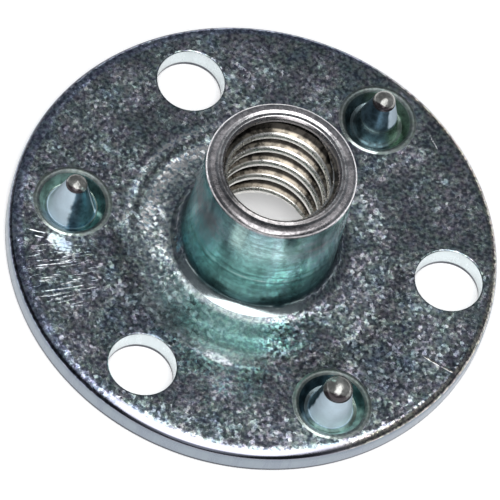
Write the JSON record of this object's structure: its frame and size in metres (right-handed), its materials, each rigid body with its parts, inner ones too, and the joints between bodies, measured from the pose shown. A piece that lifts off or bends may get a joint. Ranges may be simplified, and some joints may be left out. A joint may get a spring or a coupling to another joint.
{
  "type": "tee nut",
  "caption": "Zinc-plated steel tee nut: round flange with brad holes and short coined prongs, and a drawn barrel with a threaded through-bore for fixing a screw in wood.",
  "frame": {"origin": "centre of the flange's underside, on the bore's axis", "axes": "+Z along the bore towards the barrel's rim, +X through the centre of one brad hole"},
  "size_m": [0.019, 0.019, 0.0066],
  "materials": {
    "zinc_plated_steel": "bright zinc plate with a blue-green passivated tint, grainy on the flange"
  },
  "bodies": {
    "root": {"tee_nut": "zinc_plated_steel"}
  },
  "joints": []
}
